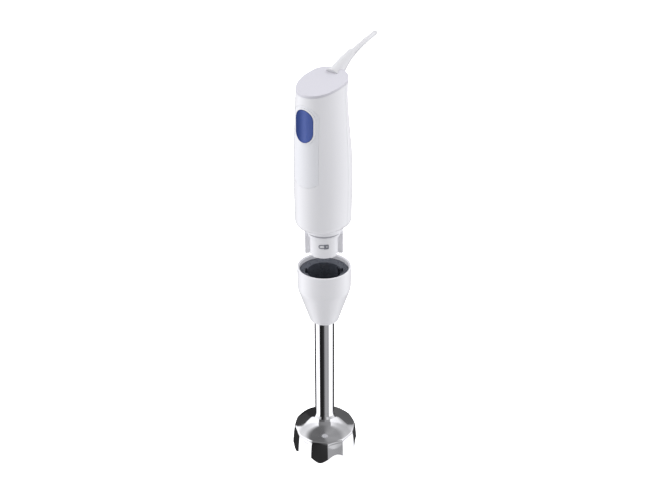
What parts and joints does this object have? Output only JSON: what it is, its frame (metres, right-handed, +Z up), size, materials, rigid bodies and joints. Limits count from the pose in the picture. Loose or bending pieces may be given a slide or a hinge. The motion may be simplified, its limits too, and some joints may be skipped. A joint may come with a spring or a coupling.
{
  "type": "immersion blender",
  "caption": "Corded stick blender with a bayonet motor part lifted off a white cup, a steel shaft and a scalloped bell guard around the blade.",
  "frame": {"origin": "on the blade axis, on the plane of the bell's feet", "axes": "+Z up along the blade axis; the button faces -Y and the cord leaves towards +Y"},
  "size_m": [0.0991, 0.1373, 0.4124],
  "materials": {
    "white_gloss": "glossy moulded white",
    "inlay_white": "satin moulded white",
    "cap_grey": "satin light grey",
    "button_blue": "soft blue elastomer",
    "polished_steel": "polished stainless steel",
    "liner_grey": "dark grey moulded",
    "hub_grey": "grey moulded",
    "bronze": "sintered bronze",
    "seal_rubber": "black seal rubber",
    "blade_steel": "ground blade steel",
    "shaft_steel": "turned steel",
    "coupler_nylon": "natural nylon",
    "lamination": "stacked electrical steel",
    "copper": "enamelled copper wire",
    "commutator_copper": "turned copper",
    "carbon": "pressed carbon",
    "holder_brass": "stamped brass",
    "spring_steel": "drawn wire",
    "fan_plastic": "moulded",
    "bracket_plastic": "glass filled",
    "board": "lacquered board",
    "switch_black": "moulded",
    "capacitor_yellow": "potted box",
    "lead_insulation": "lead insulation",
    "cord_white": "soft white vinyl",
    "tie_white": "white strap",
    "pin_metal": "nickel plated brass"
  },
  "bodies": {
    "blending_shaft": {"bell_guard": "polished_steel", "shaft_tube": "polished_steel", "bearing_hub": "hub_grey", "lower_bush": "bronze", "shaft_seal": "seal_rubber", "upper_bush": "hub_grey", "coupling_cup": "white_gloss", "bayonet_liner": "liner_grey"},
    "blade_drive": {"blade_spindle": "shaft_steel", "drive_coupler": "coupler_nylon", "blade": "blade_steel", "blade_nut": "blade_steel", "blade_spacer": "shaft_steel"},
    "seal_ring": {"neck_seal": "seal_rubber"},
    "button": {"power_button": "button_blue", "switch_plunger": "switch_black"},
    "armature": {"motor_shaft": "shaft_steel", "armature_core": "lamination", "armature_winding": "copper", "commutator": "commutator_copper", "cooling_fan": "fan_plastic", "drive_dog": "coupler_nylon"},
    "motor_part": {"coupling_neck": "white_gloss", "lock_symbol": "cap_grey", "front_shell": "white_gloss", "rear_cover": "white_gloss", "top_cap": "cap_grey", "front_inlay": "inlay_white", "button_bezel": "white_gloss", "circuit_board": "board", "switch_body": "switch_black", "suppressor_capacitor": "capacitor_yellow", "stator_core": "lamination", "field_coils": "copper", "motor_bottom_bracket": "bracket_plastic", "motor_top_bracket": "bracket_plastic", "bottom_bearing": "bronze", "top_bearing": "bronze", "motor_screws": "shaft_steel", "brush_holders": "holder_brass", "carbon_brushes": "carbon", "brush_springs": "spring_steel", "cable_clamp": "bracket_plastic", "clamp_screws": "shaft_steel", "supply_lead": "cord_white", "motor_leads": "lead_insulation", "strain_relief": "cord_white", "cord_tube": "cord_white", "cord_hank": "cord_white", "cord_tie": "tie_white", "plug_lead": "cord_white", "plug_body": "cord_white", "plug_pins": "pin_metal"}
  },
  "joints": [
    {"name": "motor_release", "type": "slide", "parent": "blending_shaft", "child": "seal_ring", "axis": [0, 0, 1], "range_m": [-0.044, 0]},
    {"name": "bayonet_twist", "type": "hinge", "parent": "seal_ring", "child": "motor_part", "pos_m": [0, 0, 0.226], "axis": [0, 0, 1], "range_deg": [0, 20]},
    {"name": "button_press", "type": "slide", "parent": "motor_part", "child": "button", "axis": [0, 1, 0], "range_m": [0, 0.0025], "stiffness_N_per_m": 900, "springref_m": -0.0006},
    {"name": "motor_spin", "type": "hinge", "parent": "motor_part", "child": "armature", "pos_m": [0, 0, 0.298], "axis": [0, 0, 1], "continuous": true},
    {"name": "blade_spin", "type": "hinge", "parent": "blending_shaft", "child": "blade_drive", "pos_m": [0, 0, 0.01], "axis": [0, 0, 1], "continuous": true}
  ]
}
